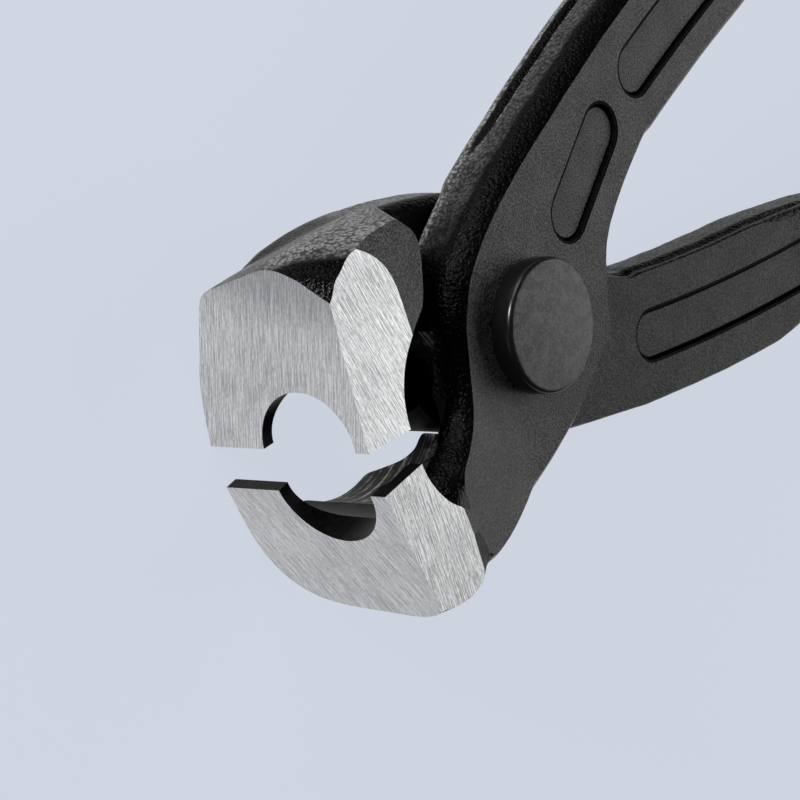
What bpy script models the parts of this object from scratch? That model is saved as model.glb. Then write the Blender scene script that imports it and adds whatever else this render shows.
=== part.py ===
"""Ear clamp pliers: two forged levers that cross on a rivet, with plain dipped grips.

The tool lies flat. Z is the rivet's axis, the jaws point to -X and the side jaws are on +Z.
The origin is the centre of the rivet's lower end. Both levers are drawn closed, with the pinch
line on Y = 0 and the lap plane on Z = 0, and their pivots then lift them and turn them open.
"""
import math
from typing import NamedTuple

import bmesh
import bpy
from mathutils import Matrix

MM = 0.001

# Fit
CLEARANCE = 0.3 * MM

# Joint
PLATE_THICK = 9.0 * MM
HALF_OPENING = math.radians(4.33)
RIVET_SHANK_RADIUS = 5.5 * MM
RIVET_HEAD_RADIUS = 8.0 * MM
RIVET_HEAD_HEIGHT = 3.2 * MM
RIVET_TAIL_RADIUS = 7.2 * MM
RIVET_TAIL_HEIGHT = 2.0 * MM
RIVET_EDGE = 0.5 * MM

# Jaws: near is the side jaws' side, far is the other, and setbacks are measured from the front
JAW_REACH = 35.2 * MM
JAW_LENGTH = 16.6 * MM
HEEL_SETBACK = 14.2 * MM
HEEL_DEPTH = 11.5 * MM
UPPER_JAW_DEPTH = 20.7 * MM
LOWER_JAW_DEPTH = 17.5 * MM
NEAR_SIDE = 16.5 * MM
FAR_SIDE = 11.1 * MM
UPPER_NEAR_ROUNDNESS = 3.6
LOWER_NEAR_ROUNDNESS = 6.0
FAR_ROUNDNESS = 2.5
FRONT_SLOPE = math.radians(4.75)
FRONT_LAND = 2.5 * MM
SIDE_FACE_HEIGHT = 12.6 * MM
SIDE_FACE_SLOPE = math.radians(5.7)
SIDE_LAND = 1.6 * MM
NOTCH_RADIUS = 6.8 * MM
NOTCH_HEIGHT = 3.9 * MM
POCKET_RADIUS = 8.2 * MM
POCKET_ARM_TOP = 8.3 * MM
HOLLOW_SETBACK = 18.7 * MM
HOLLOW_RADIUS = 12.2 * MM
HOLLOW_END = math.radians(52)

# Arm between jaw and joint: its flare towards the jaw, and the points its two edges pass through.
# The nose is the arm's end inside the jaw, and its points are measured back from the jaw's front.
FLARE_START = -9.0 * MM
FLARE_SETBACK = 10.2 * MM
NEAR_RISE = 4.5 * MM
FAR_RISE = 2.0 * MM
NOSE_OUTER_EDGE = [
    (4.8 * MM, -12.2 * MM),
    (6.4 * MM, -15.8 * MM),
    (10.2 * MM, -18.0 * MM),
    (17.2 * MM, -19.0 * MM),
]
NOSE_MOUTH_EDGE = [
    (4.8 * MM, -9.3 * MM),
    (6.1 * MM, -6.2 * MM),
    (8.6 * MM, -4.2 * MM),
    (11.8 * MM, -3.3 * MM),
    (15.0 * MM, -2.3 * MM),
    (17.8 * MM, -0.4 * MM),
]
ARM_OUTER_EDGE = [
    (-9.0 * MM, -18.4 * MM),
    (2.0 * MM, -15.9 * MM),
    (9.1 * MM, -12.9 * MM),
    (14.4 * MM, -9.9 * MM),
    (16.8 * MM, -5.0 * MM),
    (20.6 * MM, 0.6 * MM),
]
ARM_MOUTH_EDGE = [
    (-14.3 * MM, 4.2 * MM),
    (-11.2 * MM, 9.1 * MM),
    (-4.9 * MM, 13.8 * MM),
    (5.8 * MM, 18.2 * MM),
]

# Handles: a curve with four control points, wide at the joint and a thin tang in the grip
HANDLE_LINE = [
    (20.0 * MM, 12.7 * MM),
    (60.0 * MM, 23.4 * MM),
    (125.0 * MM, 24.3 * MM),
    (183.0 * MM, 22.3 * MM),
]
HANDLE_ROOT = 29.0 * MM
HANDLE_WIDTH = 18.0 * MM
TAPER_START = 58.0 * MM
NECK_WIDTH = 13.6 * MM
EDGE_ROUNDING = 2.8 * MM
JOGGLE_START = 76.0 * MM
SHOULDER_LENGTH = 4.0 * MM
TANG_START = 92.0 * MM
TANG_WIDTH = 9.4 * MM
TANG_THICK = 8.0 * MM

# Shallow recesses in the handle faces
RECESS_DEPTH = 0.8 * MM
RECESS_WIDTH = 6.4 * MM
JOINT_RECESS = [(13.1 * MM, 7.3 * MM), (23.5 * MM, 12.8 * MM)]
HANDLE_RECESS_START = 33.4 * MM
HANDLE_RECESS_END = 72.0 * MM

# Grips
GRIP_WIDTH = 17.5 * MM
GRIP_THICK = 15.0 * MM
GRIP_LIP_WIDTH = 15.0 * MM
GRIP_LIP_LENGTH = 8.0 * MM
GRIP_END_WALL = 4.0 * MM

# Places worked out from the sizes
LAP_HEIGHT = PLATE_THICK + CLEARANCE + RIVET_TAIL_HEIGHT
FLARE_END = FLARE_SETBACK - JAW_REACH
FAR_AWAY = 3 * JAW_REACH
ROUND_STEPS = 48
SPLINE_STEPS = 3


class Forging(NamedTuple):
    """What makes one lever differ from the other."""

    arm_turn: Matrix
    jaw_flip: Matrix
    jaw_depth: float
    near_roundness: float
    plate_rise: float


def bezier(controls, t):
    """Point at t on the cubic curve with four control points."""
    weights = ((1 - t) ** 3, 3 * t * (1 - t) ** 2, 3 * t * t * (1 - t), t ** 3)
    x = sum(w * c[0] for w, c in zip(weights, controls))
    y = sum(w * c[1] for w, c in zip(weights, controls))
    return x, y


def handle_frame(t):
    """Point on the handle's middle line and the unit vector across it, towards the outer edge."""
    step = 0.001
    x, y = bezier(HANDLE_LINE, t)
    ahead = bezier(HANDLE_LINE, t + step)
    behind = bezier(HANDLE_LINE, t - step)
    along = math.hypot(ahead[0] - behind[0], ahead[1] - behind[1])
    across = ((behind[1] - ahead[1]) / along, (ahead[0] - behind[0]) / along)
    return x, y, across


def handle_at(x):
    """Parameter at which the handle's middle line reaches x, by halving."""
    low, high = -0.2, 1.2
    while high - low > 1e-7:
        middle = (low + high) / 2
        if bezier(HANDLE_LINE, middle)[0] < x:
            low = middle
        else:
            high = middle
    return low


def smooth_step(value):
    """Ease from 0 to 1."""
    value = min(max(value, 0.0), 1.0)
    return value * value * (3 - 2 * value)


def handle_half_width(x):
    """Half the handle's width at x: even, then a slow taper and a shoulder down to the tang."""
    neck = TANG_START - SHOULDER_LENGTH
    taper = smooth_step((x - TAPER_START) / (neck - TAPER_START))
    width = HANDLE_WIDTH + (NECK_WIDTH - HANDLE_WIDTH) * taper
    shoulder = smooth_step((x - neck) / SHOULDER_LENGTH)
    return (width + (TANG_WIDTH - width) * shoulder) / 2


def spread(first, last, count):
    """Evenly spaced values from first to last."""
    return [first + (last - first) * index / count for index in range(count + 1)]


def handle_places(start):
    """X stations along the handle: close together on the shoulder."""
    neck = TANG_START - SHOULDER_LENGTH
    end = HANDLE_LINE[-1][0]
    return spread(start, neck, 9)[:-1] + spread(neck, TANG_START, 4)[:-1] + spread(TANG_START, end, 10)


def handle_edge(start, side):
    """Points along one edge of the handle, from X station start to the tang's end."""
    points = []
    for place in handle_places(start):
        x, y, across = handle_frame(handle_at(place))
        reach = side * handle_half_width(x)
        points.append((x + across[0] * reach, y + across[1] * reach))
    return points


def between(a, b, c, d, t):
    """Value at t on the smooth curve from b to c, with a before them and d after them."""
    turn = 2 * a - 5 * b + 4 * c - d
    return 0.5 * (2 * b + (c - a) * t + turn * t * t + (3 * b - a - 3 * c + d) * t ** 3)


def spline(points, steps):
    """Smooth open curve through the points."""
    padded = [points[0]] + list(points) + [points[-1]]
    curve = []
    for four in zip(padded, padded[1:], padded[2:], padded[3:]):
        for index in range(steps):
            curve.append(tuple(between(*values, index / steps) for values in zip(*four)))
    curve.append(points[-1])
    return curve


def squircle(half_width, half_height, power, angle):
    """Point on an ellipse whose sides are flatter the higher the power is."""
    cosine, sine = math.cos(angle), math.sin(angle)
    x = math.copysign(abs(cosine) ** (2 / power), cosine) * half_width
    y = math.copysign(abs(sine) ** (2 / power), sine) * half_height
    return x, y


def stadium(line, half_width, steps=8):
    """Outline of a slot with round ends along a line of points."""
    outline = []
    for path in (line, line[::-1]):
        for index, (x, y) in enumerate(path[:-1]):
            ahead = path[index + 1]
            heading = math.atan2(ahead[1] - y, ahead[0] - x)
            outline.append((x + half_width * math.sin(heading), y - half_width * math.cos(heading)))
        x, y = path[-1]
        for index in range(steps + 1):
            angle = heading - math.pi / 2 + math.pi * index / steps
            outline.append((x + half_width * math.cos(angle), y + half_width * math.sin(angle)))
    return outline


def material(name, colour, roughness, metallic):
    """Plain Principled material."""
    made = bpy.data.materials.new(name)
    made.use_nodes = True
    shader = made.node_tree.nodes["Principled BSDF"]
    shader.inputs["Base Color"].default_value = (*colour, 1.0)
    shader.inputs["Roughness"].default_value = roughness
    shader.inputs["Metallic"].default_value = metallic
    return made


def add_object(name, mesh_data, parent):
    """Object with the bmesh's faces, hung on a pivot."""
    mesh_data.normal_update()
    bmesh.ops.recalc_face_normals(mesh_data, faces=mesh_data.faces)
    mesh = bpy.data.meshes.new(name)
    mesh_data.to_mesh(mesh)
    mesh_data.free()
    made = bpy.data.objects.new(name, mesh)
    bpy.context.scene.collection.objects.link(made)
    made.parent = parent
    return made


def finish(made, finish_material):
    """Give a finished piece its material and smooth round faces."""
    made.data.materials.append(finish_material)
    made.data.shade_smooth()
    made.data.set_sharp_from_angle(angle=math.radians(35))
    return made


def prism(outline, low, high):
    """Straight prism on an XY outline."""
    made = bmesh.new()
    face = made.faces.new([made.verts.new((x, y, low)) for x, y in outline])
    risen = bmesh.ops.extrude_face_region(made, geom=[face])["geom"]
    lifted = [item for item in risen if isinstance(item, bmesh.types.BMVert)]
    bmesh.ops.translate(made, verts=lifted, vec=(0, 0, high - low))
    return made


def round_rim(made, height, width):
    """Round the rim of a prism at one height."""
    rim = [edge for edge in made.edges if all(abs(vert.co.z - height) < 1e-6 for vert in edge.verts)]
    bmesh.ops.bevel(made, geom=rim, offset=width, segments=3, profile=0.5, affect='EDGES')


def slice_across(made, places):
    """Cut the mesh across X, so that it can bend there."""
    for place in places:
        everything = made.verts[:] + made.edges[:] + made.faces[:]
        bmesh.ops.bisect_plane(made, geom=everything, plane_co=(place, 0, 0), plane_no=(1, 0, 0))


def cylinder(radius, low, high, centre=(0.0, 0.0)):
    """Round bar along Z, turned half a step so that no corner lies on the pinch line."""
    made = bmesh.new()
    middle = Matrix.Translation((centre[0], centre[1], (low + high) / 2))
    place = middle @ Matrix.Rotation(math.pi / ROUND_STEPS, 4, 'Z')
    bmesh.ops.create_cone(made, cap_ends=True, segments=ROUND_STEPS, radius1=radius, radius2=radius,
                          depth=high - low, matrix=place)
    return made


def loft(rings):
    """Closed skin over a row of rings with equal point counts."""
    made = bmesh.new()
    rows = [[made.verts.new(point) for point in ring] for ring in rings]
    for row, following in zip(rows, rows[1:]):
        for index in range(len(row)):
            after = (index + 1) % len(row)
            made.faces.new((row[index], row[after], following[after], following[index]))
    made.faces.new(rows[0])
    made.faces.new(rows[-1])
    return made


def combine(target, tool, operation):
    """Boolean of a hidden tool with the target."""
    modifier = target.modifiers.new(tool.name, 'BOOLEAN')
    modifier.operation = operation
    modifier.solver = 'EXACT'
    modifier.object = tool
    tool.hide_render = True
    tool.display_type = 'WIRE'


def flare_and_joggle(made, rise):
    """Raise the face towards the jaw, and bring the handle to the tang on the tool's middle plane."""
    neck = TANG_START - SHOULDER_LENGTH
    middle = PLATE_THICK / 2
    for vert in made.verts:
        x, z = vert.co.x, vert.co.z
        flare = max((FLARE_START - x) / (FLARE_START - FLARE_END), 0.0)
        joggle = smooth_step((x - JOGGLE_START) / (neck - JOGGLE_START))
        scale = 1 + (TANG_THICK / PLATE_THICK - 1) * joggle
        vert.co.z = middle * (1 - joggle) + (z - middle) * scale + rise * flare * z / PLATE_THICK


def behind_front(points):
    """Points measured back from the jaw's front, as places."""
    return [(x - JAW_REACH, y) for x, y in points]


def arm_and_handle(rise):
    """Flat body of the lever on its side of the lap plane, from the jaw to the tang's end."""
    inner = handle_edge(HANDLE_ROOT, -1)
    outer = handle_edge(HANDLE_ROOT, 1)
    below = spline(behind_front(NOSE_OUTER_EDGE) + ARM_OUTER_EDGE + inner[:2], SPLINE_STEPS) + inner[2:]
    above = spline(behind_front(NOSE_MOUTH_EDGE) + ARM_MOUTH_EDGE + outer[:2], SPLINE_STEPS) + outer[2:]
    lap = CLEARANCE / 2
    made = prism(below + above[::-1], lap, PLATE_THICK)
    round_rim(made, PLATE_THICK, EDGE_ROUNDING)
    round_rim(made, lap, EDGE_ROUNDING)
    slice_across(made, [FLARE_START] + spread(JOGGLE_START, TANG_START - SHOULDER_LENGTH, 4))
    flare_and_joggle(made, rise)
    return made


def jaw_plan(depth):
    """Lower jaw block seen along the rivet, with a round hollow behind it."""
    set_back = depth * math.tan(FRONT_SLOPE)
    outline = [(0.0, 0.0), (set_back, -depth), (JAW_LENGTH, -depth), (HEEL_SETBACK, -HEEL_DEPTH)]
    for angle in spread(math.pi + HOLLOW_END, math.pi, 10):
        x = HOLLOW_SETBACK + HOLLOW_RADIUS * math.cos(angle)
        outline.append((x, HOLLOW_RADIUS * math.sin(angle)))
    return prism(behind_front(outline), -2 * NEAR_SIDE, 2 * NEAR_SIDE)


def jaw_section(depth, near_roundness):
    """Lower jaw block seen from the front, with bowed sides and round corners, as a bar along X."""
    outline = [(depth, NEAR_SIDE), (depth, -FAR_SIDE)]
    for angle in spread(math.pi, 3 * math.pi / 2, 10):
        z, y = squircle(FAR_SIDE, depth, FAR_ROUNDNESS, angle)
        outline.append((y, z))
    for angle in spread(3 * math.pi / 2, 2 * math.pi, 10)[1:]:
        z, y = squircle(NEAR_SIDE, depth, near_roundness, angle)
        outline.append((y, z))
    made = prism(outline, -2 * JAW_REACH, 0.0)
    upright = Matrix(((0, 0, 1, 0), (1, 0, 0, 0), (0, 1, 0, 0), (0, 0, 0, 1)))
    made.transform(upright)
    return made


def slope_cut(start, height, slope):
    """Everything above a plane that passes through height at X start and rises along +X."""
    made = bmesh.new()
    bmesh.ops.create_cube(made, size=2.0)
    for vert in made.verts:
        x = start + vert.co.x * FAR_AWAY / 2
        low = height + slope * (x - start)
        vert.co.z = low + FAR_AWAY if vert.co.z > 0 else low
        vert.co.x = x
        vert.co.y *= FAR_AWAY / 2
    return made


def jaw_cuts():
    """Cutters of the jaw block: the near face that flares from the plate, and the pocket, as (name, mesh)."""
    slope = NEAR_RISE / (FLARE_END - FLARE_START)
    near_flare = slope_cut(FLARE_START, PLATE_THICK - CLEARANCE, slope)
    jaw_pocket = pocket(POCKET_RADIUS, SIDE_FACE_HEIGHT - SIDE_LAND)
    return [("near_flare", near_flare), ("jaw_pocket", jaw_pocket)]


def pocket(radius, top):
    """Round pocket behind the front jaw, open on the far side."""
    centre = (FRONT_LAND + POCKET_RADIUS - JAW_REACH, 0.0)
    return cylinder(radius, -FAR_AWAY, top, centre)


def front_notch():
    """Half-round notch through the front jaw."""
    made = cylinder(NOTCH_RADIUS, -FRONT_LAND - POCKET_RADIUS / 2, FRONT_LAND)
    made.transform(Matrix.Translation((-JAW_REACH, 0, NOTCH_HEIGHT)) @ Matrix.Rotation(-math.pi / 2, 4, 'Y'))
    return made


def recesses():
    """Cutters of the slots in the handle's two faces, as (name, mesh)."""
    first = handle_at(HANDLE_RECESS_START)
    last = handle_at(HANDLE_RECESS_END)
    line = [bezier(HANDLE_LINE, t) for t in spread(first, last, 6)]
    joint_slot = stadium(JOINT_RECESS, RECESS_WIDTH / 2)
    handle_slot = stadium(line, RECESS_WIDTH / 2)
    floor = PLATE_THICK - RECESS_DEPTH
    return [
        ("joint_recess", prism(joint_slot, floor, 2 * PLATE_THICK)),
        ("outer_recess", prism(handle_slot, floor, 2 * PLATE_THICK)),
        ("inner_recess", prism(handle_slot, -PLATE_THICK, CLEARANCE / 2 + RECESS_DEPTH)),
    ]


def lever_cuts():
    """Cutters that shape both finished levers alike, as (name, mesh)."""
    arm_pocket = pocket(POCKET_RADIUS + CLEARANCE, POCKET_ARM_TOP)
    side_grind = slope_cut(-JAW_REACH, SIDE_FACE_HEIGHT, math.tan(SIDE_FACE_SLOPE))
    rivet_hole = cylinder(RIVET_SHANK_RADIUS + CLEARANCE, -FAR_AWAY, FAR_AWAY)
    return [
        ("arm_pocket", arm_pocket),
        ("notch", front_notch()),
        ("side_grind", side_grind),
        ("rivet_hole", rivet_hole),
    ]


def lever(name, pivot, forging, steel):
    """One forged lever: its arm and handle, its jaw, then the recesses and the machined faces."""
    def placed(part_name, mesh_data, place):
        mesh_data.transform(place)
        return add_object(f"{name}.{part_name}", mesh_data, pivot)

    made = placed("arm", arm_and_handle(forging.plate_rise), forging.arm_turn)
    made.name = name
    jaw = placed("jaw", jaw_plan(forging.jaw_depth), forging.jaw_flip)
    section = jaw_section(forging.jaw_depth, forging.near_roundness)
    combine(jaw, placed("section", section, forging.jaw_flip), 'INTERSECT')
    for part_name, mesh_data in jaw_cuts():
        combine(jaw, placed(part_name, mesh_data, Matrix.Identity(4)), 'DIFFERENCE')
    combine(made, jaw, 'UNION')
    for part_name, mesh_data in recesses():
        combine(made, placed(part_name, mesh_data, forging.arm_turn), 'DIFFERENCE')
    for part_name, mesh_data in lever_cuts():
        combine(made, placed(part_name, mesh_data, Matrix.Identity(4)), 'DIFFERENCE')
    return finish(made, steel)


def rivet(pivot, steel):
    """Rivet turned about Z: low tail head, shank, and the wide head with a softened edge."""
    head_low = PLATE_THICK + CLEARANCE
    head_high = head_low + RIVET_HEAD_HEIGHT
    tail_high = -PLATE_THICK - CLEARANCE
    tail_low = tail_high - RIVET_TAIL_HEIGHT
    profile = [
        (0.0, tail_low),
        (RIVET_TAIL_RADIUS - RIVET_EDGE, tail_low),
        (RIVET_TAIL_RADIUS, tail_low + RIVET_EDGE),
        (RIVET_TAIL_RADIUS, tail_high),
        (RIVET_SHANK_RADIUS, tail_high),
        (RIVET_SHANK_RADIUS, head_low),
        (RIVET_HEAD_RADIUS, head_low),
        (RIVET_HEAD_RADIUS, head_high - RIVET_EDGE),
        (RIVET_HEAD_RADIUS - RIVET_EDGE, head_high),
        (0.0, head_high),
    ]
    made = bmesh.new()
    row = [made.verts.new((radius, 0, height)) for radius, height in profile]
    edges = [made.edges.new(pair) for pair in zip(row, row[1:])]
    bmesh.ops.spin(made, geom=row + edges, cent=(0, 0, 0), axis=(0, 0, 1), angle=2 * math.pi,
                   steps=ROUND_STEPS, use_merge=True)
    bmesh.ops.remove_doubles(made, verts=made.verts, dist=CLEARANCE / 100)
    return finish(add_object("pivot_rivet", made, pivot), steel)


def handle_ring(t, half_width, half_thick, power, count=20):
    """Ring of points round the handle's middle line; a high power makes it squarer."""
    x, y, across = handle_frame(t)
    ring = []
    for index in range(count):
        wide, high = squircle(half_width, half_thick, power, 2 * math.pi * (index + 0.5) / count)
        ring.append((x + across[0] * wide, y + across[1] * wide, high))
    return ring


def grip_skin():
    """Outside of a grip: a lip at the front, an even body and a round end."""
    end_x = HANDLE_LINE[-1][0] + CLEARANCE + GRIP_END_WALL
    round_start = end_x - GRIP_WIDTH / 2
    start = TANG_START + CLEARANCE
    body_start = start + GRIP_LIP_LENGTH
    places = spread(start, body_start, 3) + spread(body_start, round_start, 10)[1:]
    for angle in spread(0.0, math.pi / 2, 5)[1:]:
        places.append(round_start + (end_x - round_start) * math.sin(angle))
    rings = []
    for place in places:
        swell = smooth_step((place - start) / GRIP_LIP_LENGTH)
        width = GRIP_LIP_WIDTH + (GRIP_WIDTH - GRIP_LIP_WIDTH) * swell
        along_end = max((place - round_start) / (end_x - round_start), 0.0)
        closing = max(math.sqrt(max(1 - along_end ** 2, 0.0)), 0.25)
        rings.append(handle_ring(handle_at(place), width / 2 * closing,
                                 width / 2 * closing * GRIP_THICK / GRIP_WIDTH, 2.6))
    return loft(rings)


def tang_socket():
    """Hollow of a grip: the tang's box with its clearance, open at the front."""
    half_width = TANG_WIDTH / 2 + CLEARANCE
    half_thick = TANG_THICK / 2 + CLEARANCE
    first = handle_at(TANG_START - GRIP_LIP_LENGTH)
    last = handle_at(HANDLE_LINE[-1][0] + CLEARANCE)
    rings = []
    for t in spread(first, last, 24):
        x, y, across = handle_frame(t)
        ring = []
        for side, level in ((-1, -1), (1, -1), (1, 1), (-1, 1)):
            reach = half_width * side
            ring.append((x + across[0] * reach, y + across[1] * reach, half_thick * level))
        rings.append(ring)
    return loft(rings)


def grip(name, pivot, turn, plastic):
    """Dipped sleeve on one tang."""
    skin = grip_skin()
    skin.transform(turn)
    socket = tang_socket()
    socket.transform(turn)
    made = add_object(name, skin, pivot)
    combine(made, add_object(f"{name}.socket", socket, pivot), 'DIFFERENCE')
    return finish(made, plastic)


def pivot_empty(name, angle):
    """Empty on the rivet's axis at the lap plane, turned to the lever's opening."""
    made = bpy.data.objects.new(name, None)
    bpy.context.scene.collection.objects.link(made)
    made.location = (0, 0, LAP_HEIGHT)
    made.rotation_euler = (0, 0, angle)
    return made


def main():
    """Build the pliers, open as far as a clamp's ear needs."""
    for old in list(bpy.data.objects):
        bpy.data.objects.remove(old, do_unlink=True)

    forged = material("forged_black", (0.035, 0.035, 0.037), 0.5, 0.4)
    rivet_steel = material("rivet_black", (0.06, 0.06, 0.062), 0.45, 0.6)
    plastic = material("grip_plastic", (0.09, 0.1, 0.11), 0.6, 0.0)

    as_drawn = Matrix.Identity(4)
    turned = Matrix.Rotation(math.pi, 4, 'X')
    mirrored = Matrix.Scale(-1, 4, (0, 1, 0))
    upper = pivot_empty("upper_jaw_pivot", -HALF_OPENING)
    lower = pivot_empty("lower_jaw_pivot", HALF_OPENING)

    upper_forging = Forging(turned, mirrored, UPPER_JAW_DEPTH, UPPER_NEAR_ROUNDNESS, FAR_RISE)
    lower_forging = Forging(as_drawn, as_drawn, LOWER_JAW_DEPTH, LOWER_NEAR_ROUNDNESS, NEAR_RISE)
    lever("upper_jaw_lever", upper, upper_forging, forged)
    lever("lower_jaw_lever", lower, lower_forging, forged)
    rivet(upper, rivet_steel)
    grip("upper_jaw_lever_grip", upper, turned, plastic)
    grip("lower_jaw_lever_grip", lower, as_drawn, plastic)


main()
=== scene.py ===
"""Looks of a pair of ear clamp pliers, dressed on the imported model.

Sizes are in millimetres. Every piece is shaped closed, with the rivet's axis on Z, the lap plane on
Z = 0 and the pinch line on Y = 0. Its place then opens it, lifts it onto the floor and brings it to
metres. The near side is the side jaws' side, +Z, and the far side lies on the floor.
"""
from __future__ import annotations

import logging
import math
from dataclasses import dataclass, field
from enum import Enum
from typing import Any, Sequence

import bmesh
import bpy
from mathutils import Matrix, Vector, noise


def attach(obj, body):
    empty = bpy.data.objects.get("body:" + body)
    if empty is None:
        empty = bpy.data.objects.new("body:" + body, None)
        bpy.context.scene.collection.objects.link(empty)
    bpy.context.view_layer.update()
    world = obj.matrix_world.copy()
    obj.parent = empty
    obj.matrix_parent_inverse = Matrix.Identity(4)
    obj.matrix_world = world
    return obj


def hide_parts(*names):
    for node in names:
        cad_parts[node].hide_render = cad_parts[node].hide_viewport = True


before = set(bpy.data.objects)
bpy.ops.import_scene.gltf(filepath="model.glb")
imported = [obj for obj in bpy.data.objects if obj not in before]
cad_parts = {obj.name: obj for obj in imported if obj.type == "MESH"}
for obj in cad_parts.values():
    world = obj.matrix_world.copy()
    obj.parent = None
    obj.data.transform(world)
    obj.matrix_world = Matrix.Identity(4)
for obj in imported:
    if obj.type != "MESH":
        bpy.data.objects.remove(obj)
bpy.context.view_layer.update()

LOG = logging.getLogger("pliers")
METRES = 0.001
LAP_HEIGHT = 11.3
HALF_OPENING = math.radians(4.33)
FAR_OUT = 120.0
ROUND_STEPS = 96
MERGE = 1e-4

Point = tuple[float, float]
Corner = tuple[float, float, float]
Colour = tuple[float, float, float, float]
Mesh = bmesh.types.BMesh
Piece = bpy.types.Object
Finish = bpy.types.Material


class Jaw(Enum):
    """The two levers, named by the jaw that each one carries in the photograph."""

    UPPER = "upper"
    LOWER = "lower"


class Work(Enum):
    """What a tool does to a piece, with the Boolean operation that does it."""

    CUT = 'DIFFERENCE'
    ADD = 'UNION'


# Curves


def smooth_step(value: float) -> float:
    """Ease from 0 to 1."""
    value = min(max(value, 0.0), 1.0)
    return value * value * (3 - 2 * value)


def ramp(value: float, start: float, end: float) -> float:
    """Ease from 0 at start to 1 at end."""
    return smooth_step((value - start) / (end - start))


def spread(first: float, last: float, count: int) -> list[float]:
    """Give count + 1 even steps from first to last."""
    return [first + (last - first) * index / count for index in range(count + 1)]


def bezier(controls: Sequence[Point], t: float) -> Point:
    """Give a point on a cubic curve.

    Args:
        controls: The curve's four control points.
        t: How far along the curve, from 0 to 1.

    Returns:
        The point.
    """
    weights = ((1 - t) ** 3, 3 * t * (1 - t) ** 2, 3 * t * t * (1 - t), t ** 3)
    x = sum(w * c[0] for w, c in zip(weights, controls))
    y = sum(w * c[1] for w, c in zip(weights, controls))
    return x, y


def through(t: float, before: float, start: float, end: float, after: float) -> float:
    """Give one coordinate of a smooth curve between start and end.

    Args:
        t: How far along the stretch, from 0 to 1.
        before: The coordinate of the point before the stretch.
        start: The coordinate where the stretch starts.
        end: The coordinate where it ends.
        after: The coordinate of the point after it.

    Returns:
        The coordinate.
    """
    bend = 2 * before - 5 * start + 4 * end - after
    turn = 3 * start - before - 3 * end + after
    return 0.5 * (2 * start + (end - before) * t + bend * t * t + turn * t ** 3)


def spline(points: Sequence[Point], steps: int) -> list[Point]:
    """Draw a smooth open curve through points.

    Args:
        points: The points that the curve passes through.
        steps: How many pieces each stretch is cut into.

    Returns:
        The curve's points.
    """
    padded = [points[0], *points, points[-1]]
    curve = []
    for stretch in zip(padded, padded[1:], padded[2:], padded[3:]):
        for t in spread(0.0, 1.0, steps)[:-1]:
            curve.append(tuple(through(t, *row) for row in zip(*stretch)))
    curve.append(points[-1])
    return curve


def rounded(corners: Sequence[Corner], steps: int = 8) -> list[Point]:
    """Round the corners of a closed outline.

    Args:
        corners: Each corner's place, and how far from it the rounding starts.
        steps: How many pieces each rounding is cut into.

    Returns:
        The rounded outline.
    """
    outline = []
    for index, (x, y, reach) in enumerate(corners):
        here = Vector((x, y))
        before = here + (Vector(corners[index - 1][:2]) - here).normalized() * reach
        after = here + (Vector(corners[(index + 1) % len(corners)][:2]) - here).normalized() * reach
        for step in range(steps + 1):
            t = step / steps
            outline.append(tuple((1 - t) ** 2 * before + 2 * t * (1 - t) * here + t * t * after))
    return outline


def stadium(line: Sequence[Point], half_width: float, steps: int = 16) -> list[Point]:
    """Draw a slot with round ends.

    Args:
        line: The slot's middle line.
        half_width: Half the slot's width.
        steps: How many pieces each round end is cut into.

    Returns:
        The slot's outline.
    """
    outline = []
    for path in (line, line[::-1]):
        for (x, y), ahead in zip(path, path[1:]):
            heading = math.atan2(ahead[1] - y, ahead[0] - x)
            outline.append((x + half_width * math.sin(heading), y - half_width * math.cos(heading)))
        x, y = path[-1]
        for angle in spread(heading - math.pi / 2, heading + math.pi / 2, steps)[:-1]:
            outline.append((x + half_width * math.cos(angle), y + half_width * math.sin(angle)))
    return outline


def arc(radius: float, first: float, last: float, centre: Point = (0.0, 0.0),
        steps: int = 48) -> list[Point]:
    """Draw an arc.

    Args:
        radius: The arc's radius.
        first: The angle where it starts, in degrees.
        last: The angle where it ends, in degrees.
        centre: Its centre.
        steps: How many pieces it is cut into.

    Returns:
        The arc's points.
    """
    x, y = centre
    angles = [math.radians(degrees) for degrees in spread(first, last, steps)]
    return [(x + radius * math.cos(angle), y + radius * math.sin(angle)) for angle in angles]


# Mesh work


def prism(outline: Sequence[Point], low: float, high: float) -> Mesh:
    """Raise an outline in XY into a straight prism.

    Args:
        outline: The outline's points.
        low: The height of the first end face.
        high: The height of the other.

    Returns:
        The prism.
    """
    made = bmesh.new()
    face = made.faces.new([made.verts.new((x, y, low)) for x, y in outline])
    risen = bmesh.ops.extrude_face_region(made, geom=[face])["geom"]
    lifted = [item for item in risen if isinstance(item, bmesh.types.BMVert)]
    bmesh.ops.translate(made, verts=lifted, vec=(0, 0, high - low))
    return made


def at_height(item: bmesh.types.BMEdge | bmesh.types.BMFace, height: float) -> bool:
    """Say whether an edge or a face lies at one height."""
    return all(abs(vert.co.z - height) < MERGE for vert in item.verts)


def round_rim(made: Mesh, height: float, width: float, segments: int, profile: float = 0.5) -> None:
    """Round the rim that a prism has at one height.

    Args:
        made: The prism.
        height: The rim's height.
        width: How far from the rim the rounding starts.
        segments: How many pieces the rounding is cut into.
        profile: How full the rounding is; a low profile makes a flatter slope.
    """
    rim = [edge for edge in made.edges if at_height(edge, height)]
    bmesh.ops.bevel(made, geom=rim, offset=width, segments=segments, profile=profile,
                    affect='EDGES', material=-1)


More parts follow.
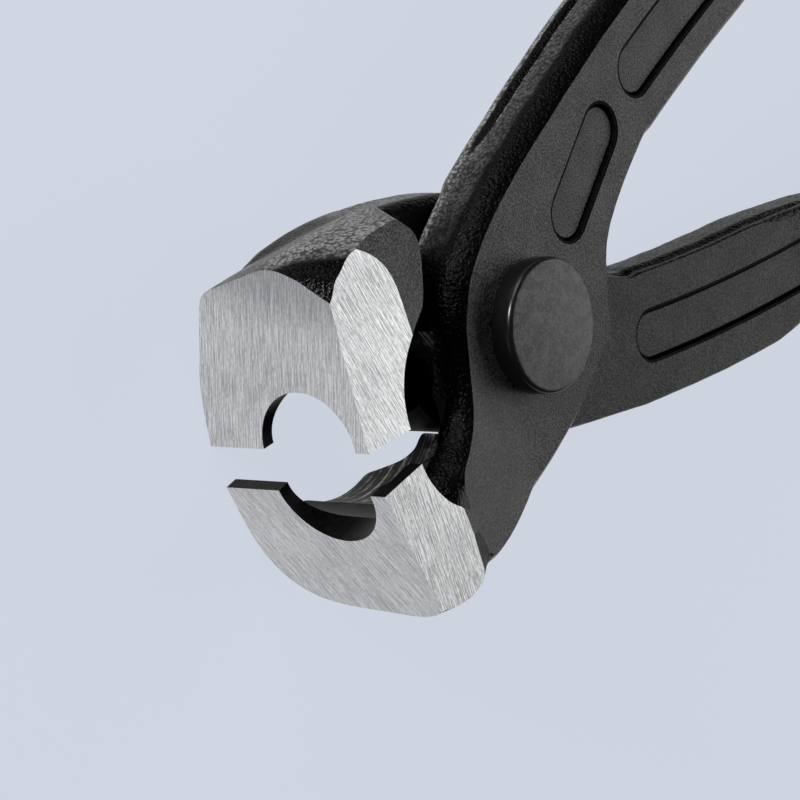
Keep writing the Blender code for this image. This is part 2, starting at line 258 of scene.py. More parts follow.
def cylinder(radius: float, low: float, high: float, centre: Point = (0.0, 0.0)) -> Mesh:
    """Make a round bar along Z.

    Args:
        radius: The bar's radius.
        low: The height of its lower end.
        high: The height of its upper end.
        centre: The place of its axis.

    Returns:
        The bar.
    """
    made = bmesh.new()
    half_step = Matrix.Rotation(math.pi / ROUND_STEPS, 4, 'Z')
    middle = Matrix.Translation((*centre, (low + high) / 2)) @ half_step
    bmesh.ops.create_cone(made, cap_ends=True, segments=ROUND_STEPS, radius1=radius, radius2=radius,
                          depth=high - low, matrix=middle)
    return made


def beyond(point: Sequence[float], normal: Sequence[float]) -> Mesh:
    """Make the large block that fills everything beyond a plane.

    Args:
        point: A point of the plane.
        normal: The way out of the kept side.

    Returns:
        The block, with one face in the plane.
    """
    made = bmesh.new()
    turn = Vector(normal).to_track_quat('Z', 'Y').to_matrix().to_4x4()
    place = Matrix.Translation(point) @ turn @ Matrix.Translation((0, 0, FAR_OUT / 2))
    bmesh.ops.create_cube(made, size=FAR_OUT, matrix=place)
    return made


def box(low: Sequence[float], high: Sequence[float]) -> Mesh:
    """Make a block.

    Args:
        low: The corner with the lowest coordinates.
        high: The corner with the highest.

    Returns:
        The block.
    """
    made = bmesh.new()
    size = Vector(high) - Vector(low)
    place = Matrix.Translation((Vector(low) + Vector(high)) / 2) @ Matrix.Diagonal((*size, 1))
    bmesh.ops.create_cube(made, size=1.0, matrix=place)
    return made


def loft(rings: Sequence[Sequence[Sequence[float]]]) -> Mesh:
    """Bridge a row of rings into one closed skin.

    Args:
        rings: The rings' points, with the same count in each.

    Returns:
        The skin, with its first and last ring closed.
    """
    made = bmesh.new()
    loops = []
    for ring in rings:
        verts = [made.verts.new(point) for point in ring]
        loops.append([made.edges.new(pair) for pair in zip(verts, verts[1:] + verts[:1])])
    for loop, following in zip(loops, loops[1:]):
        bmesh.ops.bridge_loops(made, edges=loop + following)
    for loop in (loops[0], loops[-1]):
        bmesh.ops.holes_fill(made, edges=loop)
    return made


def as_object(name: str, made: Mesh, finish: Finish) -> Piece:
    """Turn a finished bmesh into an object.

    Args:
        name: The object's name.
        made: The mesh, which is used up.
        finish: The material of all its faces.

    Returns:
        The object, linked to the scene.
    """
    bmesh.ops.remove_doubles(made, verts=made.verts, dist=MERGE)
    made.normal_update()
    bmesh.ops.recalc_face_normals(made, faces=made.faces)
    mesh = bpy.data.meshes.new(name)
    made.to_mesh(mesh)
    made.free()
    mesh.materials.append(finish)
    piece = bpy.data.objects.new(name, mesh)
    bpy.context.scene.collection.objects.link(piece)
    return piece


def settle(piece: Piece) -> None:
    """Turn a piece's modifiers into its own mesh.

    Args:
        piece: The piece to work on.
    """
    graph = bpy.context.evaluated_depsgraph_get()
    mesh = bpy.data.meshes.new_from_object(piece.evaluated_get(graph), depsgraph=graph)
    old = piece.data
    piece.modifiers.clear()
    piece.data = mesh
    bpy.data.meshes.remove(old)


def carve(piece: Piece, tool: Mesh, finish: Finish, work: Work = Work.CUT) -> None:
    """Cut a tool out of a piece, or add it.

    Args:
        piece: The piece to work on.
        tool: The tool's mesh, which is used up.
        finish: The finish that the tool leaves behind.
        work: Whether the tool is cut out or added.
    """
    cutter = as_object("tool", tool, finish)
    modifier = piece.modifiers.new("work", 'BOOLEAN')
    modifier.operation = work.value
    modifier.solver = 'EXACT'
    modifier.material_mode = 'TRANSFER'
    modifier.object = cutter
    settle(piece)
    mesh = cutter.data
    bpy.data.objects.remove(cutter)
    bpy.data.meshes.remove(mesh)


def melted(piece: Piece) -> Mesh:
    """Take the mesh out of a piece.

    Args:
        piece: The piece, which is used up.

    Returns:
        Its mesh.
    """
    made = bmesh.new()
    made.from_mesh(piece.data)
    mesh = piece.data
    bpy.data.objects.remove(piece)
    bpy.data.meshes.remove(mesh)
    return made


def soften(piece: Piece, rounds: int) -> None:
    """Smooth a piece's skin.

    Args:
        piece: The piece to work on.
        rounds: How often it is smoothed.
    """
    smooth = piece.modifiers.new("soften", 'SMOOTH')
    smooth.factor = 0.5
    smooth.iterations = rounds
    settle(piece)


def hammer(piece: Piece, voxel: float, rounds: int) -> None:
    """Melt a piece's blanks into one forging with soft inner corners.

    Args:
        piece: The piece to work on.
        voxel: The size of the new mesh's cells.
        rounds: How often the skin is smoothed.
    """
    remesh = piece.modifiers.new("melt", 'REMESH')
    remesh.mode = 'VOXEL'
    remesh.voxel_size = voxel
    remesh.adaptivity = 0.0
    soften(piece, rounds)


def shade(piece: Piece, angle: float = 32.0) -> None:
    """Smooth a piece's shading, except across sharp edges and between two finishes.

    Args:
        piece: The piece to shade.
        angle: The angle in degrees from which an edge is sharp.
    """
    piece.data.shade_smooth()
    piece.data.set_sharp_from_angle(angle=math.radians(angle))
    made = bmesh.new()
    made.from_mesh(piece.data)
    for edge in made.edges:
        if len({face.material_index for face in edge.link_faces}) > 1:
            edge.smooth = False
    made.to_mesh(piece.data)
    made.free()


def place_of(jaw: Jaw) -> Matrix:
    """Give the place of a lever's pieces.

    Args:
        jaw: The lever's jaw.

    Returns:
        The matrix that opens the lever, lifts it and brings it to metres.
    """
    opening = HALF_OPENING if jaw is Jaw.LOWER else -HALF_OPENING
    lift = Matrix.Translation((0, 0, LAP_HEIGHT * METRES))
    return lift @ Matrix.Rotation(opening, 4, 'Z') @ Matrix.Scale(METRES, 4)


def turn_of(jaw: Jaw) -> Matrix:
    """Give the turn about X that lays the upper jaw's plate under the lap plane."""
    return Matrix.Rotation(math.pi if jaw is Jaw.UPPER else 0.0, 4, 'X')


# Finishes


class Value:
    """A number socket of a material, for use in sums."""

    def __init__(self, sheet: "NodeSheet", socket: bpy.types.NodeSocket) -> None:
        """Hold a socket of a sheet."""
        self.sheet = sheet
        self.socket = socket

    def _with(self, operation: str, first: Any, second: Any) -> "Value":
        """Add a Math node of two values."""
        return self.sheet.node("ShaderNodeMath", {"operation": operation}, {0: first, 1: second})

    def __add__(self, other: Any) -> "Value":
        """Add."""
        return self._with('ADD', self, other)

    def __radd__(self, other: Any) -> "Value":
        """Add to a number."""
        return self._with('ADD', other, self)

    def __sub__(self, other: Any) -> "Value":
        """Take away."""
        return self._with('SUBTRACT', self, other)

    def __rsub__(self, other: Any) -> "Value":
        """Take from a number."""
        return self._with('SUBTRACT', other, self)

    def __mul__(self, other: Any) -> "Value":
        """Multiply."""
        return self._with('MULTIPLY', self, other)

    def __rmul__(self, other: Any) -> "Value":
        """Multiply a number."""
        return self._with('MULTIPLY', other, self)

    def at_least(self, other: Any) -> "Value":
        """Give the larger of two."""
        return self._with('MAXIMUM', self, other)

    def away(self) -> "Value":
        """Give the size without the sign."""
        return self._with('ABSOLUTE', self, 0.0)


class NodeSheet:
    """The nodes of one material, or of the world."""

    def __init__(self, owner: Finish | bpy.types.World) -> None:
        """Open the owner's nodes.

        Args:
            owner: The new material or world.
        """
        owner.use_nodes = True
        self.owner = owner
        self.tree = owner.node_tree

    @classmethod
    def of_material(cls, name: str) -> "NodeSheet":
        """Start a material with a Principled shader."""
        return cls(bpy.data.materials.new(name))

    def feed(self, socket: bpy.types.NodeSocket, value: Any) -> None:
        """Link a value to a socket, or set a number or vector on it.

        Args:
            socket: The socket to feed.
            value: The value, number or vector.
        """
        if isinstance(value, Value):
            self.tree.links.new(value.socket, socket)
        else:
            socket.default_value = value

    def node(self, kind: str, settings: dict[str, Any] | None = None,
             sockets: dict[Any, Any] | None = None, output: Any = 0) -> Value:
        """Add a node.

        Args:
            kind: The node's type.
            settings: Properties that are set first.
            sockets: Values or links of its inputs.
            output: The output to hand back.

        Returns:
            That output.
        """
        added = self.tree.nodes.new(kind)
        for key, setting in (settings or {}).items():
            setattr(added, key, setting)
        for key, value in (sockets or {}).items():
            self.feed(added.inputs[key], value)
        return Value(self, added.outputs[output])

    def place(self) -> Value:
        """Give the place on the piece, in millimetres."""
        where = self.node("ShaderNodeTexCoord", output="Object")
        return self.node("ShaderNodeVectorMath", {"operation": 'SCALE'}, {0: where, "Scale": 1 / METRES})

    def along(self, place: Value, axis: Sequence[float]) -> Value:
        """Measure a place or a direction along an axis."""
        way = Vector(axis).normalized()
        return self.node("ShaderNodeVectorMath", {"operation": 'DOT_PRODUCT'}, {0: place, 1: way}, "Value")

    def upward(self) -> Value:
        """Give how far the surface faces near or far, from 0 on a wall to 1 on a flat face."""
        normal = self.node("ShaderNodeNewGeometry", output="True Normal")
        return self.node("ShaderNodeSeparateXYZ", sockets={0: normal}, output="Z").away()

    def joined(self, x: Any, y: Any, z: Any) -> Value:
        """Join three numbers into a place."""
        return self.node("ShaderNodeCombineXYZ", sockets={0: x, 1: y, 2: z})

    def noise(self, place: Value, scale: float, detail: float = 2.0, rough: float = 0.5) -> Value:
        """Add cloudy noise, with its scale in ripples per millimetre."""
        return self.node("ShaderNodeTexNoise", sockets={
            "Vector": place, "Scale": scale, "Detail": detail, "Roughness": rough}, output="Fac")

    def grains(self, place: Value, scale: float) -> Value:
        """Give the distance from the middle of each grain of a packed surface."""
        return self.node("ShaderNodeTexVoronoi", {"feature": 'SMOOTH_F1'}, {
            "Vector": place, "Scale": scale, "Smoothness": 0.6}, "Distance")

    def between(self, value: Value, low: float, high: float) -> Value:
        """Ease from 0 at low to 1 at high."""
        return self.node("ShaderNodeMapRange", {"interpolation_type": 'SMOOTHSTEP'}, {
            "Value": value, "From Min": low, "From Max": high})

    def blend(self, share: Any, first: Any, second: Any) -> Value:
        """Mix two colours, from first at a share of 0 to second at 1."""
        return self.node("ShaderNodeMix", {"data_type": 'RGBA'}, {0: share, 6: first, 7: second}, 2)

    def bump(self, height: Value, depth: float, strength: float = 1.0) -> Value:
        """Turn a height from 0 to 1 into a normal, with the depth in millimetres."""
        return self.node("ShaderNodeBump", sockets={
            "Strength": strength, "Distance": depth * METRES, "Height": height}, output="Normal")

    def coat(self, sockets: dict[str, Any]) -> Finish:
        """Finish a material.

        Args:
            sockets: Values or links of the Principled shader's inputs.

        Returns:
            The material.
        """
        shader = self.tree.nodes["Principled BSDF"]
        for key, value in sockets.items():
            self.feed(shader.inputs[key], value)
        return self.owner

    def show(self, shader: Value, output: str) -> None:
        """Link a shader to the named output node's surface."""
        self.tree.links.new(shader.socket, self.tree.nodes[output].inputs["Surface"])


def grey(level: float, warmth: float = 0.0) -> Colour:
    """Give a grey colour, a little warm or cool."""
    return level * (1 + warmth), level, level * (1 - warmth), 1.0


@dataclass(frozen=True)
class ForgedSkin:
    """Black pebbled skin of the forging's walls, with a painted grey sheen on faces turned towards +Y.

    The sheen, on the jaw's roof and the handles' far bands, stands in for light from +Y. The ranges are
    places in millimetres between which the painted sheen comes or goes.
    """

    black: float = 0.0015
    # The grey of the painted sheen, which stands in for light from +Y.
    wear_and_sheen: float = 0.19
    pebble: float = 2.3
    grain: float = 4.8
    patch: float = 0.3
    # Which way a face must turn, and between which places, to take the painted sheen; the near band of the
    # handles' walls loses most of it.
    outward: Corner = (0.0, 1.0, -0.6)
    outward_share: Point = (0.68, 0.85)
    roof_start: Point = (-34.0, -29.0)
    roof_far_edge: Point = (9.0, 13.5)
    handle_start: Point = (-14.0, -8.0)
    wall_near_band: Point = (12.6, 15.4)
    wall_loss: float = 0.75
    bump_depth: float = 0.16

    def painted_sheen(self, sheet: NodeSheet, place: Value) -> Value:
        """Work out where the painted sheen lies, on faces turned towards +Y.

        Args:
            sheet: The material's nodes.
            place: The place on the piece.

        Returns:
            The share of painted sheen, from 0 to 1.
        """
        normal = sheet.node("ShaderNodeTexCoord", output="Normal")
        outward = sheet.between(sheet.along(normal, self.outward), *self.outward_share)
        length = sheet.along(place, (1, 0, 0))
        height = sheet.along(place, (0, 0, 1))
        on_roof = sheet.between(length, *self.roof_start) * sheet.between(height, *self.roof_far_edge)
        on_wall = 1 - self.wall_loss * sheet.between(height, *self.wall_near_band)
        handle = sheet.between(length, *self.handle_start)
        return outward * (on_roof * (1 - handle) + on_wall * handle)

    def make(self) -> Finish:
        """Make the material.

        Returns:
            The material.
        """
        sheet = NodeSheet.of_material("forged_skin")
        place = sheet.place()
        # Painted sheen: faces turned towards +Y on the roof and the far bands are made grey, as if lit.
        painted_sheen = self.painted_sheen(sheet, place)
        fine = sheet.noise(place, self.grain, 1.0, 0.6)
        patches = sheet.noise(place, self.patch)
        pebbles = 1 - sheet.grains(place, self.pebble)
        # In the sheen, pebble tops are painted lighter than their hollows (painted light and shade), with
        # random tone from the fine noise and patches.
        shown = sheet.between(pebbles * 0.5 + fine * 0.35 + patches * 0.15, 0.38, 0.7)
        grey_skin = sheet.blend(shown, grey(self.wear_and_sheen * 0.25), grey(self.wear_and_sheen * 1.7, 0.01))
        return sheet.coat({
            "Base Color": sheet.blend(painted_sheen, grey(self.black), grey_skin),
            "Roughness": 0.13 + 0.06 * fine + 0.3 * painted_sheen,
            "Specular IOR Level": 0.08,
            "Normal": sheet.bump(fine * 0.4 + pebbles * 0.6, self.bump_depth),
        })


@dataclass(frozen=True)
class ForgedFlat:
    """Coined black faces with a fine speckle."""

    name: str
    light: float
    shine: float
    dark: float = 0.001
    speckle: float = 4.0
    patch: float = 0.2
    bump_depth: float = 0.14

    def make(self) -> Finish:
        """Make the material.

        Returns:
            The material.
        """
        sheet = NodeSheet.of_material(self.name)
        place = sheet.place()
        fine = sheet.noise(place, self.speckle, 2.0, 0.6)
        patches = sheet.noise(place, self.patch, 3.0)
        shown = sheet.between(fine * 0.9 + patches * 0.1, 0.42, 0.6)
        return sheet.coat({
            "Base Color": sheet.blend(shown, grey(self.dark), grey(self.light, 0.01)),
            "Roughness": 0.5 + 0.16 * fine - 0.1 * patches,
            "Specular IOR Level": self.shine,
            "Normal": sheet.bump(fine, self.bump_depth, 0.9),
        })


@dataclass(frozen=True)
class GroundSteel:
    """Steel ground in one direction, with fine streaks and a few longer scratches.

    Each ripple gives the ripples per millimetre along the grinding stroke and across it.
    """

    name: str
    facing: Corner
    stroke: Corner
    level: float
    contrast: float
    rough: float
    # Past dim_from along the stroke the face is painted darker and bluer: painted reflection.
    dim_from: float = 100.0
    dim_run: float = 5.0
    dim_share: float = 0.3
    fine_ripple: Point = (0.24, 8.0)
    grain_ripple: Point = (1.6, 6.0)
    broad_ripple: Point = (0.14, 2.2)
    scratch_ripple: Point = (0.32, 7.0)
    cloud: float = 0.12
    bump_depth: float = 0.03

    def make(self) -> Finish:
        """Make the material.

        Returns:
            The material.
        """
        sheet = NodeSheet.of_material(self.name)
        place = sheet.place()
        stroke = Vector(self.stroke).normalized()
        across = Vector(self.facing).cross(stroke).normalized()
        far = sheet.along(place, stroke)
        side = sheet.along(place, across)

        def drawn_out(ripple: Point, layer: float, detail: float = 1.0, rough: float = 0.5) -> Value:
            """Add noise that is drawn out along the stroke."""
            return sheet.noise(sheet.joined(far * ripple[0], side * ripple[1], layer), 1.0, detail, rough)

        fine = drawn_out(self.fine_ripple, 0.0, rough=0.6)
        grain = drawn_out(self.grain_ripple, 2.0)
        broad = drawn_out(self.broad_ripple, 5.0, detail=2.0)
        clouds = sheet.noise(place, self.cloud, 1.0)
        scratch = sheet.between(drawn_out(self.scratch_ripple, 9.0), 0.6, 0.68)
        streak = fine * 0.56 + grain * 0.28 + broad * 0.06 + clouds * 0.1
        shown = sheet.between(streak, 0.38, 0.62)
        low = self.level * (1 - self.contrast)
        high = self.level * (1 + self.contrast)
        colour = sheet.blend(shown, grey(low, -0.02), grey(high, -0.01))
        scored = sheet.blend(scratch * 0.6, colour, grey(low * 0.62, -0.01))
        # Painted reflection: a darker, bluer band past dim_from along the stroke.
        painted_reflection_band = sheet.between(far, self.dim_from, self.dim_from + self.dim_run) * self.dim_share
        return sheet.coat({
            "Base Color": sheet.blend(painted_reflection_band, scored, grey(low * 0.4, -0.08)),
            "Metallic": 1.0,
            "Roughness": self.rough + 0.16 * fine,
            "Normal": sheet.bump(streak - 0.4 * scratch, self.bump_depth, 0.4),
        })


@dataclass(frozen=True)
class MilledSteel:
    """Dark milled steel with the cutter's fine rings, each at one height."""

    dark: float = 0.022
    light: float = 0.6
    rings: float = 2.3
    wander: float = 0.35
    break_up: float = 0.9
    bump_depth: float = 0.12

    def make(self) -> Finish:
        """Make the material.

        Returns:
            The material.
        """
        sheet = NodeSheet.of_material("milled_steel")
        place = sheet.place()
        height = sheet.along(place, (0, 0, 1))
        wander = sheet.noise(place, self.wander)
        ring = sheet.noise(sheet.joined(height * self.rings, wander * 0.6, 0.0), 1.0, 2.0, 0.7)
        broken = sheet.noise(place, self.break_up)
        shown = sheet.between(ring * 0.75 + broken * 0.25, 0.5, 0.68)
        return sheet.coat({
            "Base Color": sheet.blend(shown, grey(self.dark), grey(self.light, 0.01)),
            "Metallic": 0.7,
            "Roughness": 0.5 - 0.15 * shown,
            "Normal": sheet.bump(ring, self.bump_depth, 0.8),
        })


@dataclass(frozen=True)
class BoredSteel:
    """Plain bored steel, a little cloudy, near black as painted shade in hollows, notch and pinch lands.
    """

    # Near-black levels: painted shade of the hollows that this finish lines.
    dark: float = 0.002
    light: float = 0.012
    cloud: float = 0.5
    grain: float = 4.0
    bump_depth: float = 0.05

    def make(self) -> Finish:
        """Make the material.

        Returns:
            The material.
        """
        sheet = NodeSheet.of_material("bored_steel")
        place = sheet.place()
        cloud = sheet.noise(place, self.cloud, 3.0)
        fine = sheet.noise(place, self.grain)
        shown = sheet.between(cloud * 0.5 + fine * 0.5, 0.35, 0.65)
        return sheet.coat({
            "Base Color": sheet.blend(shown, grey(self.dark), grey(self.light, 0.01)),
            "Metallic": 0.6,
            "Roughness": 0.5 - 0.1 * fine,
            "Specular IOR Level": 0.12,
            "Normal": sheet.bump(fine, self.bump_depth, 0.6),
        })


@dataclass(frozen=True)
class RivetBlack:
    """Blackened rivet: a mottled end face and a smooth shiny wall."""

    wall: float = 0.006
    dark: float = 0.006
    light: float = 0.068
    mottle: float = 0.7
    grain: float = 4.6
    bump_depth: float = 0.05

    def make(self) -> Finish:
        """Make the material.

        Returns:
            The material.
        """
        sheet = NodeSheet.of_material("rivet_black")
        place = sheet.place()
        flat = sheet.between(sheet.upward(), 0.8, 0.98)
        mottle = sheet.noise(place, self.mottle, 5.0, 0.7)
        fine = sheet.noise(place, self.grain)
        shown = sheet.between(mottle * 0.55 + fine * 0.45, 0.4, 0.62)
        end_face = sheet.blend(shown, grey(self.dark), grey(self.light, 0.015))
        return sheet.coat({
            "Base Color": sheet.blend(flat, grey(self.wall), end_face),
            "Metallic": 0.25,
            "Roughness": 0.2 + 0.28 * flat + 0.12 * mottle,
            "Normal": sheet.bump((mottle * 0.5 + fine * 0.5) * flat, self.bump_depth, 0.6),
        })


@dataclass(frozen=True)
class GripPlastic:
    """Dipped plastic with a fine orange-peel skin."""

    colour: Colour = (0.035, 0.038, 0.042, 1.0)
    wear_and_sheen: Colour = (0.07, 0.073, 0.078, 1.0)
    peel: float = 1.1
    grain: float = 4.0
    handling: float = 0.05
    bump_depth: float = 0.09

    def make(self) -> Finish:
        """Make the material.

        Returns:
            The material.
        """
        sheet = NodeSheet.of_material("grip_plastic")
        place = sheet.place()
        peel = sheet.grains(place, self.peel)
        fine = sheet.noise(place, self.grain)
        handled = sheet.between(sheet.noise(place, self.handling, 3.0), 0.42, 0.7)
        return sheet.coat({
            "Base Color": sheet.blend(handled * 0.6 + fine * 0.2, self.colour, self.wear_and_sheen),
            "Roughness": 0.42 + 0.14 * fine - 0.1 * handled,
            "Specular IOR Level": 0.45,
            "Normal": sheet.bump(peel * 0.8 + fine * 0.2, self.bump_depth, 0.5),
        })


@dataclass(frozen=True)
class Finishes:
    """The materials of the whole tool, made once."""

    forged: Finish
    flat: Finish
    lap: Finish
    pressed: Finish
    upper_front: Finish
    lower_front: Finish
    upper_side: Finish
    lower_side: Finish
    milled: Finish
    bored: Finish
    rivet: Finish
    grip: Finish

    @classmethod
    def make(cls) -> "Finishes":
        """Make every material.

        Returns:
            The materials.
        """
        front, side = (-1.0, 0.0, 0.0), (0.0, 0.0, 1.0)
        return cls(
            forged=ForgedSkin().make(),
            flat=ForgedFlat("forged_flat", light=0.08, shine=0.28).make(),
            # The lap finish is a darker, duller copy of the flat one: painted shade on the lap faces.
            lap=ForgedFlat("forged_lap_painted_shade", light=0.07, shine=0.18).make(),
            # Near black, almost no shine: painted shade on slot rings, slot walls and trenches, and the
            # boss relief.
            pressed=ForgedFlat("pressed_edge", light=0.004, shine=0.02).make(),
            # The ground faces are one steel; each level is set to how bright that face shows, so their
            # differences in level are painted light and shade.
            upper_front=GroundSteel("ground_upper_front", front, (0.0, 1.0, 0.25), level=0.75,
                                    contrast=0.3, rough=0.32, dim_from=19.0).make(),
            lower_front=GroundSteel("ground_lower_front", front, (0.0, 1.0, -0.42), level=0.76,
                                    contrast=0.28, rough=0.32).make(),
            upper_side=GroundSteel("ground_upper_side", side, (-0.17, 1.0, 0.0), level=0.7,
                                   contrast=0.4, rough=0.37).make(),
            lower_side=GroundSteel("ground_lower_side", side, (0.0, 1.0, 0.0), level=0.5,
                                   contrast=0.44, rough=0.38).make(),
            milled=MilledSteel().make(),
            bored=BoredSteel().make(),
            rivet=RivetBlack().make(),
            grip=GripPlastic().make(),
        )


# Pieces


@dataclass(frozen=True)
class HandleLine:
    """Middle line and widths of a handle, from the joint to the tang's end."""

    controls: tuple[Point, ...] = ((20.0, 12.7), (60.0, 23.4), (125.0, 24.3), (183.0, 22.3))
    root: float = 29.0
    width: float = 18.0
    taper_start: float = 58.0
    neck_width: float = 13.6
    shoulder: float = 4.0
    tang_start: float = 92.0
    tang_width: float = 9.4
    tang_thick: float = 8.0
    search: Point = (-0.2, 1.2)
    search_end: float = 1e-6
    heading_step: float = 0.001

    @property
    def neck(self) -> float:
        """Where the shoulder down to the tang starts."""
        return self.tang_start - self.shoulder

    @property
    def end(self) -> float:
        """Where the tang ends."""
        return self.controls[-1][0]

    def at(self, x: float) -> float:
        """Find the curve's parameter at a place along X, by halving.

        Args:
            x: The place.

        Returns:
            The parameter.
        """
        low, high = self.search
        while high - low > self.search_end:
            middle = (low + high) / 2
            if bezier(self.controls, middle)[0] < x:
                low = middle
            else:
                high = middle
        return low

    def frame(self, x: float) -> tuple[Vector, Vector]:
        """Give the middle line's point at a place along X, and the way across it.

        Args:
            x: The place.

        Returns:
            The point, and the direction from it to the outer edge.
        """
        t = self.at(x)
        ahead = Vector(bezier(self.controls, t + self.heading_step))
        along = ahead - Vector(bezier(self.controls, t - self.heading_step))
        along.normalize()
        return Vector(bezier(self.controls, t)), Vector((-along.y, along.x))

    def half_width(self, x: float) -> float:
        """Give half the width: even, then a slow taper and a shoulder down to the tang.

        Args:
            x: The place along X.

        Returns:
            Half the width there.
        """
        taper = ramp(x, self.taper_start, self.neck)
        width = self.width + (self.neck_width - self.width) * taper
        down = ramp(x, self.neck, self.tang_start)
        return (width + (self.tang_width - width) * down) / 2

    def edge(self, places: Sequence[float], side: int) -> list[Point]:
        """Give the points of one edge.

        Args:
            places: The places along X.
            side: 1 for the outer edge, -1 for the inner one.

        Returns:
            The points.
        """
        points = []
        for place in places:
            middle, across = self.frame(place)
            points.append(tuple(middle + across * side * self.half_width(place)))
        return points


@dataclass
class Lever:
    """One forged lever: plate, handle and jaw, then its machined faces.

    The forging is made a little too thick, by spare, and the coining dies press it to size.
    """

    jaw: Jaw
    finishes: Finishes
    line: HandleLine = field(default_factory=HandleLine)

    # Plate, flare towards the jaw and tang
    thick: float = 9.0
    gap: float = 0.3
    reach: float = 35.2
    hole_radius: float = 5.8
    rim: float = 3.1
    lap_rim: float = 1.7
    rim_profile: float = 0.36
    flare_start: float = -9.0
    flare_end: float = -25.0
    near_rise: float = 4.5
    far_rise: float = 2.0
    joggle_start: float = 76.0
    tang_overlap: float = 2.0
    tang_rim: float = 0.8

    # What the coining dies press down, and the dies
    spare: float = 0.6
    sunk: float = 0.05
    spare_depth: float = 4.0
    nose_coined: Point = (-24.0, -22.0)
    lap_coined: Point = (2.0, 4.0)
    coined_end: float = 68.0
    coined_run: float = 8.0
    die_reach: float = 60.0
    die_top: float = 40.0
    die_depth: float = 20.0

    # Forged skin: each wave has its ripples per millimetre and its height
    voxel: float = 0.32
    forge_rounds: int = 9
    skin_rounds: int = 5
    long_wave: Point = (0.22, 0.09)
    short_wave: Point = (0.7, 0.03)
    groove_start: Point = (4.0, 16.0)
    groove_run_out: float = 6.0
    groove_half: float = 0.75
    groove_depth: float = 0.75
    groove_height: float = 2.88
    far_groove_height: float = -1.26
    wall_tilt: float = 0.75
    wall_ease: float = 0.3
    flat_wave: float = 0.4

    # Hollows behind the jaw faces, boss and webs
    pocket_centre: Point = (-25.0, 0.0)
    pocket_radius: float = 8.2
    pocket_top: float = 11.4
    arm_pocket_top: float = 8.3
    hollow_centre: Point = (-16.5, 0.0)
    hollow_radius: float = 12.2
    hollow_span: Point = (102.0, 258.0)
    mouth_span: Point = (-60.0, -270.0)
    skin_height: float = 6.4
    boss_radius: float = 12.9
    boss_span: Point = (203.0, 266.0)
    heel_lean: float = 0.035
    heel_side: float = -10.0
    web_slope: float = 0.65
    web_level: float = 12.0
    web_top: float = 20.0
    block_end: float = -16.0

    # Ground faces, pinch line, notch and near facet
    front_slope: float = math.tan(math.radians(4.75))
    pinch_back: float = -22.0
    pinch_tall: float = 30.0
    notch_radius: float = 6.8
    notch_height: float = 3.9
    notch_end: float = -28.6
    upper_side_height: float = 17.04
    upper_side_rise: Point = (0.127, -0.066)
    lower_side_height: float = 15.56
    lower_side_rise: Point = (0.078, -0.009)
    facet_fall: float = 0.2
    facet_start: float = -24.4
    facet_bend: float = 3.1
    facet_bend_start: float = 12.0
    facet_bend_run: float = 8.5
    facet_power: float = 3.6

    # Recesses of the handle
    recess_depth: float = 0.8
    recess_width: float = 6.4
    # A thin, shallow ring round each slot takes the near-black finish: a painted shade line outlining the
    # slot.
    pressed_edge: float = 0.36
    pressed_depth: float = 0.08
    trench_width: float = 0.4
    trench_depth: float = 0.25
    floor_margin: float = 0.05
    floor_cut: float = 0.02
    joint_recess: tuple[Point, ...] = ((13.1, 7.3), (23.5, 12.8))
    handle_recess: Point = (33.4, 72.0)

    # Outlines
    outer_edge: tuple[Point, ...] = (
        (-30.4, -12.2), (-28.8, -15.8), (-25.0, -18.0), (-18.0, -19.0), (-9.0, -18.4),
        (2.0, -15.9), (9.1, -12.9), (14.4, -9.9), (16.8, -5.0), (20.6, 0.6))
    mouth_edge: tuple[Point, ...] = (
        (-30.4, -9.3), (-29.1, -6.2), (-26.6, -4.2), (-23.4, -3.3), (-20.2, -2.3), (-17.4, -0.4),
        (-14.3, 4.2), (-11.2, 9.1), (-4.9, 13.8), (5.8, 18.2))
    heel_edge: tuple[Point, ...] = (
        (-24.6, 6.6), (-22.6, 9.5), (-20.5, 11.6), (-19.2, 14.6), (-18.3, 17.6), (-18.7, 19.4),
        (-20.4, 21.0), (-23.0, 23.5))
    hollow_back: tuple[Point, ...] = (
        (-13.2, 8.0), (-11.6, 4.0), (-9.8, 1.0), (-8.9, -2.5), (-8.3, -6.0), (-8.8, -9.2))
    web_profile: tuple[Point, ...] = (
        (-24.0, -11.0), (-14.6, -11.0), (-12.2, -6.7), (-10.8, -5.5), (-7.0, -5.2), (-7.0, 1.0),
        (-24.0, 1.0))
    web_span: Point = (8.9, 16.6)
    web_end: Corner = (-8.3, -9.5, 0.0)
    web_end_facing: Corner = (0.953, -0.304, 0.0)

    @property
    def name(self) -> str:
        """The lever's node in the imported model."""
        return f"{self.jaw.value}_jaw_lever"

    @property
    def rise(self) -> float:
        """How far the plate's outer face rises towards the jaw."""
        return self.near_rise if self.jaw is Jaw.LOWER else self.far_rise

    def plate_outline(self, stop: float) -> list[Point]:
        """Draw the flat body seen along the rivet.

        Args:
            stop: The place on the handle where it ends.

        Returns:
            The outline.
        """
        line = self.line
        places = spread(line.root, line.neck, 20)[:-1] + spread(line.neck, line.tang_start, 6)
        places.append(stop)
        inner = line.edge(places, -1)
        outer = line.edge(places, 1)
        below = spline([*self.outer_edge, *inner[:2]], 4) + inner[2:]
        above = spline([*self.mouth_edge, *outer[:2]], 4) + outer[2:]
        return below + above[::-1]

